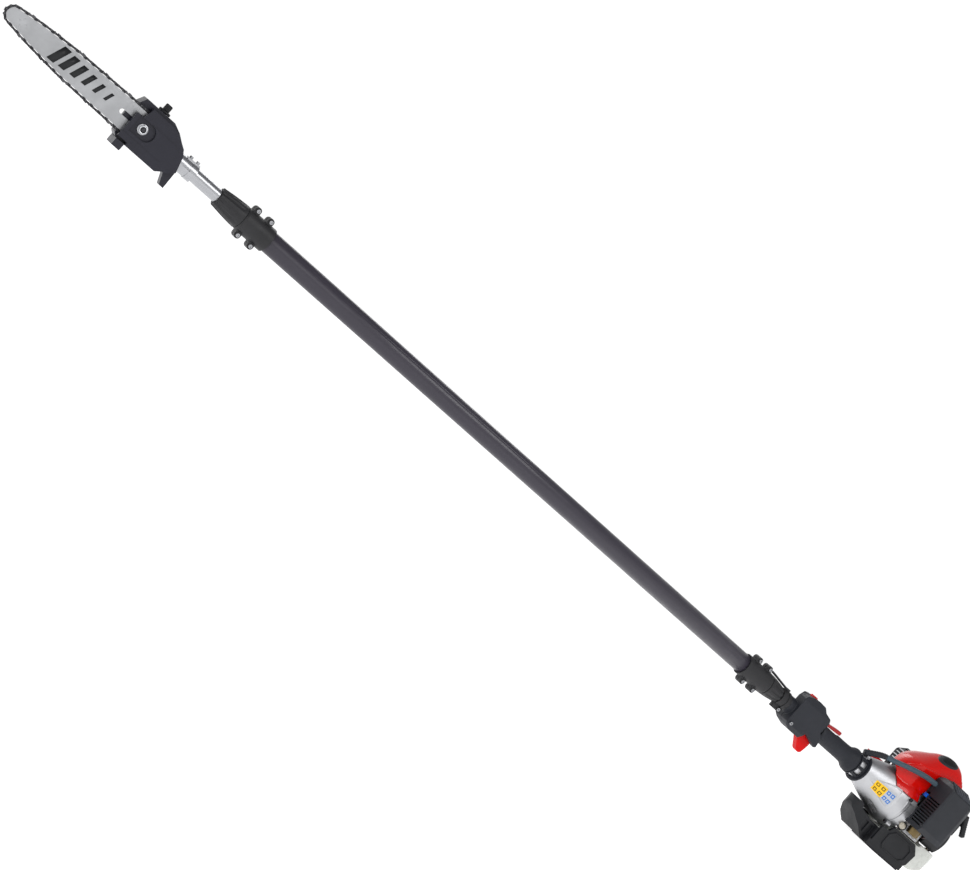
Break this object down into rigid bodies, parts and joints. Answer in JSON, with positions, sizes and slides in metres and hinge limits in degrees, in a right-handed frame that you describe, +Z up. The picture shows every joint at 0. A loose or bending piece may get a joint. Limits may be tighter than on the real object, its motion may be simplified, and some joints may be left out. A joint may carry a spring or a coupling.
{
  "type": "telescoping pole saw",
  "caption": "Petrol pole saw: a chain saw head on a sliding pole, with a control handle and a small engine at the rear.",
  "frame": {"origin": "centre of the flat foot under the tank guard, where the tool rests on the ground", "axes": "+X along the pole towards the saw tip, +Y to the tool's left side (the air filter side), +Z up"},
  "size_m": [2.425, 0.201, 0.239],
  "materials": {
    "tube_paint": "satin dark paint",
    "nylon": "matt",
    "clamp_plastic": "matt",
    "screw_steel": "zinc plated",
    "bare_tube": "satin",
    "handle_plastic": "textured",
    "grip_rubber": "matt",
    "trigger_red": "gloss",
    "lockout_red": "gloss",
    "hose": "ribbed",
    "cast_alloy": "cast",
    "cover_red": "gloss",
    "black_plastic": "textured",
    "filter_plastic": "textured",
    "foam": "open cell",
    "steel": "machined",
    "brass": "cast",
    "ceramic": "glazed",
    "choke_blue": "gloss",
    "rope": "braided",
    "tank_plastic": "translucent",
    "head_paint": "painted casting",
    "head_plastic": "matt",
    "bar_steel": "brushed",
    "chain_steel": "oiled"
  },
  "bodies": {
    "powerhead": {"outer_tube": "tube_paint", "guide_bushes": "nylon", "upper_clamp_left": "clamp_plastic", "upper_clamp_right": "clamp_plastic", "lower_clamp_left": "clamp_plastic", "lower_clamp_right": "clamp_plastic", "clamp_screws": "screw_steel", "lower_sleeve": "clamp_plastic", "lower_tube": "bare_tube", "harness_clamp": "clamp_plastic", "control_left": "handle_plastic", "control_right": "handle_plastic", "rear_grip": "grip_rubber", "antivibration_collar": "handle_plastic", "throttle_conduit": "hose", "clutch_housing": "cast_alloy", "engine_bolts": "screw_steel", "crankcase": "cast_alloy", "engine_cylinder": "cast_alloy", "spark_plug": "ceramic", "engine_cover": "cover_red", "muffler": "steel", "muffler_cover": "black_plastic", "carburettor": "brass", "filter_element": "foam", "filter_cover": "filter_plastic", "starter_housing": "black_plastic", "fuel_tank": "tank_plastic", "tank_guard": "black_plastic"},
    "saw_head": {"inner_tube": "bare_tube", "slide_bushes": "nylon", "gearbox_housing": "head_paint", "gearbox_bearings": "steel", "neck_clamp": "bare_tube", "neck_bolts": "screw_steel", "oil_tank": "head_plastic", "guide_bar": "bar_steel", "saw_chain": "chain_steel", "chain_tensioner": "screw_steel", "bar_cover": "head_plastic", "bar_stud_nut": "screw_steel"},
    "oil_cap_body": {"oil_cap": "black_plastic"},
    "sprocket": {"sprocket_shaft": "steel"},
    "bar_nose": {"nose_sprocket": "steel"},
    "upper_shaft": {"upper_drive_shaft": "steel"},
    "lock_ring": {"lock_sleeve": "clamp_plastic"},
    "lower_shaft": {"lower_drive_shaft": "steel", "clutch_drum": "steel"},
    "crank": {"crankshaft": "steel", "flywheel": "steel", "clutch_shoes": "steel"},
    "throttle": {"trigger": "trigger_red"},
    "lockout": {"lockout_lever": "lockout_red"},
    "stop_button": {"stop_switch": "trigger_red"},
    "choke": {"choke_lever": "choke_blue"},
    "harness_loop": {"harness_ring": "screw_steel"},
    "fuel_cap_body": {"fuel_cap": "black_plastic"},
    "pull_handle": {"starter_handle": "black_plastic", "starter_rope": "rope"},
    "pulley": {"starter_pulley": "black_plastic"}
  },
  "joints": [
    {"name": "pole_extend", "type": "slide", "parent": "powerhead", "child": "saw_head", "axis": [1, 0, 0], "range_m": [0, 1.1]},
    {"name": "lock_sleeve_twist", "type": "hinge", "parent": "powerhead", "child": "lock_ring", "pos_m": [1.86, 0, 0.105], "axis": [1, 0, 0], "range_deg": [0, 90]},
    {"name": "shaft_spin", "type": "hinge", "parent": "powerhead", "child": "lower_shaft", "pos_m": [0.9, 0, 0.105], "axis": [1, 0, 0], "continuous": true},
    {"name": "upper_shaft_spin", "type": "hinge", "parent": "saw_head", "child": "upper_shaft", "pos_m": [1.99, 0, 0.105], "axis": [1, 0, 0], "continuous": true},
    {"name": "sprocket_spin", "type": "hinge", "parent": "saw_head", "child": "sprocket", "pos_m": [2.015, 0.014, 0.105], "axis": [0, 1, 0], "continuous": true},
    {"name": "bar_nose_spin", "type": "hinge", "parent": "saw_head", "child": "bar_nose", "pos_m": [2.312, 0.014, 0.105], "axis": [0, 1, 0], "continuous": true},
    {"name": "crank_spin", "type": "hinge", "parent": "powerhead", "child": "crank", "pos_m": [0.02, 0, 0.105], "axis": [1, 0, 0], "continuous": true},
    {"name": "throttle_trigger", "type": "hinge", "parent": "powerhead", "child": "throttle", "pos_m": [0.328, 0, 0.086], "axis": [0, 1, 0], "range_deg": [0, 16], "stiffness_Nm_per_rad": 1.2, "springref_deg": -8.59},
    {"name": "trigger_lockout", "type": "hinge", "parent": "powerhead", "child": "lockout", "pos_m": [0.3035, 0, 0.125], "axis": [0, -1, 0], "range_deg": [0, 6], "stiffness_Nm_per_rad": 1, "springref_deg": -4.58},
    {"name": "stop_switch_slide", "type": "slide", "parent": "powerhead", "child": "stop_button", "axis": [-1, 0, 0], "range_m": [0, 0.007]},
    {"name": "choke_slide", "type": "slide", "parent": "powerhead", "child": "choke", "axis": [0, 0, -1], "range_m": [0, 0.022]},
    {"name": "harness_ring_swing", "type": "hinge", "parent": "powerhead", "child": "harness_loop", "pos_m": [0.418, 0, 0.124], "axis": [0, -1, 0], "range_deg": [0, 95]},
    {"name": "starter_pull", "type": "slide", "parent": "powerhead", "child": "pull_handle", "axis": [0, 1, 0], "range_m": [0, 0.6], "stiffness_N_per_m": 12, "springref_m": -0.25},
    {"name": "starter_pulley_spin", "type": "hinge", "parent": "powerhead", "child": "pulley", "pos_m": [-0.074, 0, 0.105], "axis": [1, 0, 0], "range_deg": [-1260, 0]},
    {"name": "fuel_cap_turn", "type": "hinge", "parent": "powerhead", "child": "fuel_cap_body", "pos_m": [-0.066, -0.05, 0.043], "axis": [0, -1, 0], "range_deg": [0, 180]},
    {"name": "oil_cap_turn", "type": "hinge", "parent": "saw_head", "child": "oil_cap_body", "pos_m": [2.039, -0.012, 0.15], "axis": [0, 0, 1], "range_deg": [0, 180]}
  ],
  "couplings": [
    {"joint": "upper_shaft_spin", "follows": "shaft_spin", "ratio": 1},
    {"joint": "sprocket_spin", "follows": "shaft_spin", "ratio": -0.6667},
    {"joint": "bar_nose_spin", "follows": "shaft_spin", "ratio": -0.5185},
    {"joint": "starter_pulley_spin", "follows": "starter_pull", "rad_per_m": -36.36}
  ]
}
